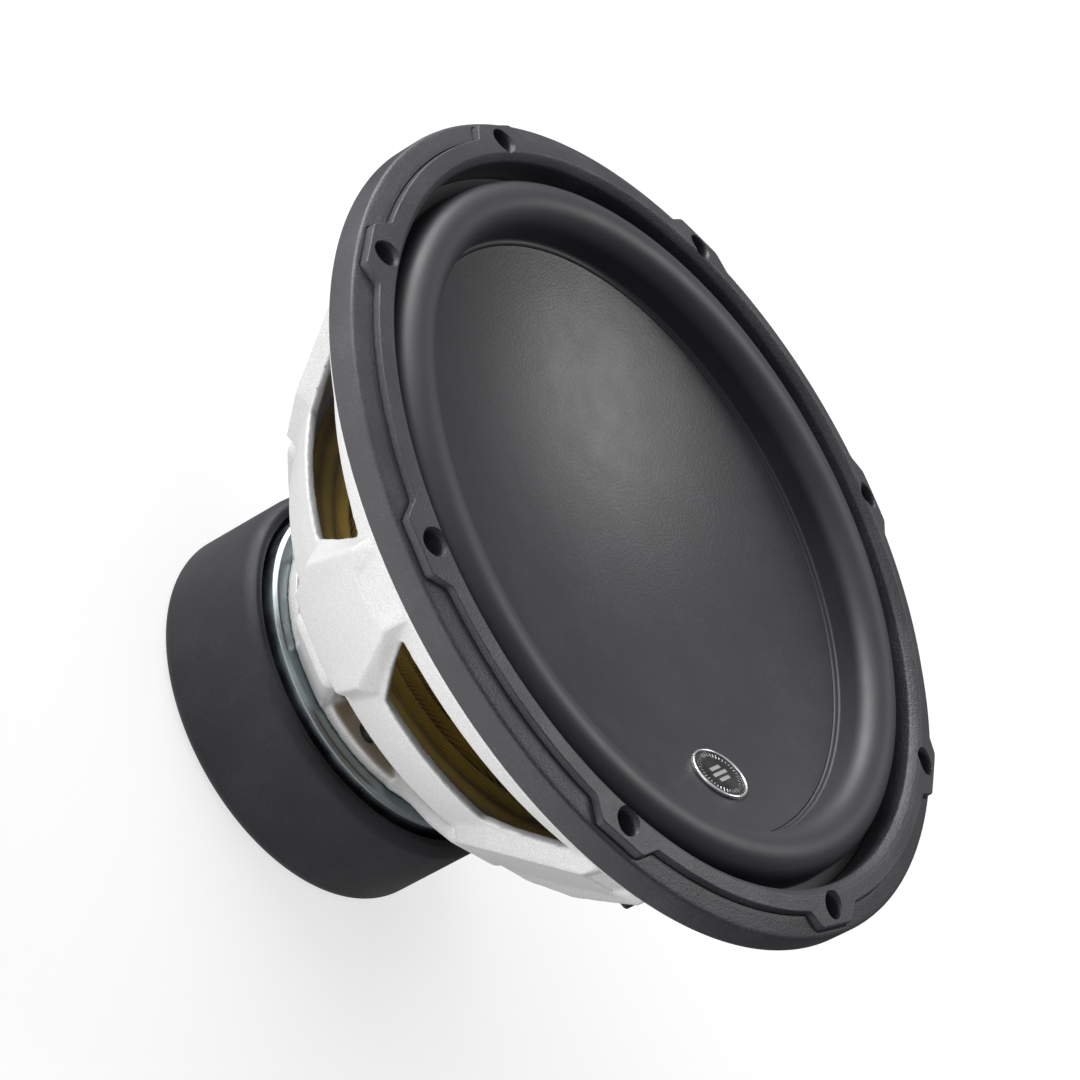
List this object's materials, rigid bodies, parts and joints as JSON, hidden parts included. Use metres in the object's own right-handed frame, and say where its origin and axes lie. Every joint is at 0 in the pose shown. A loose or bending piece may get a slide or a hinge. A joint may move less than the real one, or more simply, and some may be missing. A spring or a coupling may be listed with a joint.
{
  "type": "car subwoofer speaker",
  "caption": "Long-throw car subwoofer driver: dished cone without a dust cap, half-roll surround, rubber trim ring, cast spoked basket, ferrite motor in a rubber boot.",
  "frame": {"origin": "centre of the flat back of the magnet boot, on the speaker's axis", "axes": "+Z along the speaker's axis, from the magnet to the cone; +X through one mounting hole"},
  "size_m": [0.3166, 0.3166, 0.178],
  "materials": {
    "cast_silver": "fine metallic silver paint on a casting",
    "trim_rubber": "matt moulded rubber, fine grain",
    "surround_rubber": "matt rubber, smooth",
    "dish_poly": "matt moulded, fine grain",
    "pressed_paper": "matt pressed pulp",
    "bright_metal": "bright",
    "badge_black": "gloss",
    "spider_cloth": "resin-stiffened open weave",
    "former_film": "satin film",
    "collar_paper": "matt wrapped paper",
    "coil_wire": "enamelled copper",
    "zinc_steel": "zinc plate, satin, slightly blue",
    "ferrite": "ground ferrite, matt",
    "ring_aluminium": "turned",
    "boot_rubber": "matt moulded rubber",
    "screen_mesh": "matt black",
    "black_steel": "blackened",
    "terminal_plastic": "fine texture",
    "gold_plate": "plated",
    "tinsel_braid": "braided copper tinsel",
    "button_red": "satin",
    "button_black": "satin",
    "spring_steel": "bright wire"
  },
  "bodies": {
    "chassis": {"basket": "cast_silver", "gasket": "trim_rubber", "surround": "surround_rubber", "spider": "spider_cloth", "top_plate": "zinc_steel", "magnet_front": "ferrite", "magnet_rear": "ferrite", "t_yoke": "zinc_steel", "shorting_ring": "ring_aluminium", "magnet_boot": "boot_rubber", "vent_screen": "screen_mesh", "basket_screws": "black_steel", "terminal_block_a": "terminal_plastic", "terminal_block_b": "terminal_plastic", "terminal_screws": "bright_metal", "terminal_lugs_a": "gold_plate", "terminal_lugs_b": "gold_plate", "tinsel_leads_a": "tinsel_braid", "tinsel_leads_b": "tinsel_braid", "spring_a_plus": "spring_steel", "spring_a_minus": "spring_steel", "spring_b_plus": "spring_steel", "spring_b_minus": "spring_steel"},
    "moving_assembly": {"dish_cone": "dish_poly", "support_cone": "pressed_paper", "badge_bezel": "bright_metal", "badge_face": "badge_black", "coil_former": "former_film", "former_collar": "collar_paper", "winding_inner": "coil_wire", "winding_outer": "coil_wire"},
    "button_a_plus_body": {"button_a_plus": "button_red"},
    "button_a_minus_body": {"button_a_minus": "button_black"},
    "button_b_plus_body": {"button_b_plus": "button_red"},
    "button_b_minus_body": {"button_b_minus": "button_black"}
  },
  "joints": [
    {"name": "cone_travel", "type": "slide", "parent": "chassis", "child": "moving_assembly", "axis": [0, 0, 1], "range_m": [-0.014, 0.014], "stiffness_N_per_m": 4200, "deforming": ["surround", "spider", "tinsel_leads_a", "tinsel_leads_b"]},
    {"name": "button_a_plus_press", "type": "slide", "parent": "chassis", "child": "button_a_plus_body", "axis": [0, 0, 1], "range_m": [0, 0.003], "stiffness_N_per_m": 600, "deforming": ["spring_a_plus"]},
    {"name": "button_a_minus_press", "type": "slide", "parent": "chassis", "child": "button_a_minus_body", "axis": [0, 0, 1], "range_m": [0, 0.003], "stiffness_N_per_m": 600, "deforming": ["spring_a_minus"]},
    {"name": "button_b_plus_press", "type": "slide", "parent": "chassis", "child": "button_b_plus_body", "axis": [0, 0, 1], "range_m": [0, 0.003], "stiffness_N_per_m": 600, "deforming": ["spring_b_plus"]},
    {"name": "button_b_minus_press", "type": "slide", "parent": "chassis", "child": "button_b_minus_body", "axis": [0, 0, 1], "range_m": [0, 0.003], "stiffness_N_per_m": 600, "deforming": ["spring_b_minus"]}
  ]
}
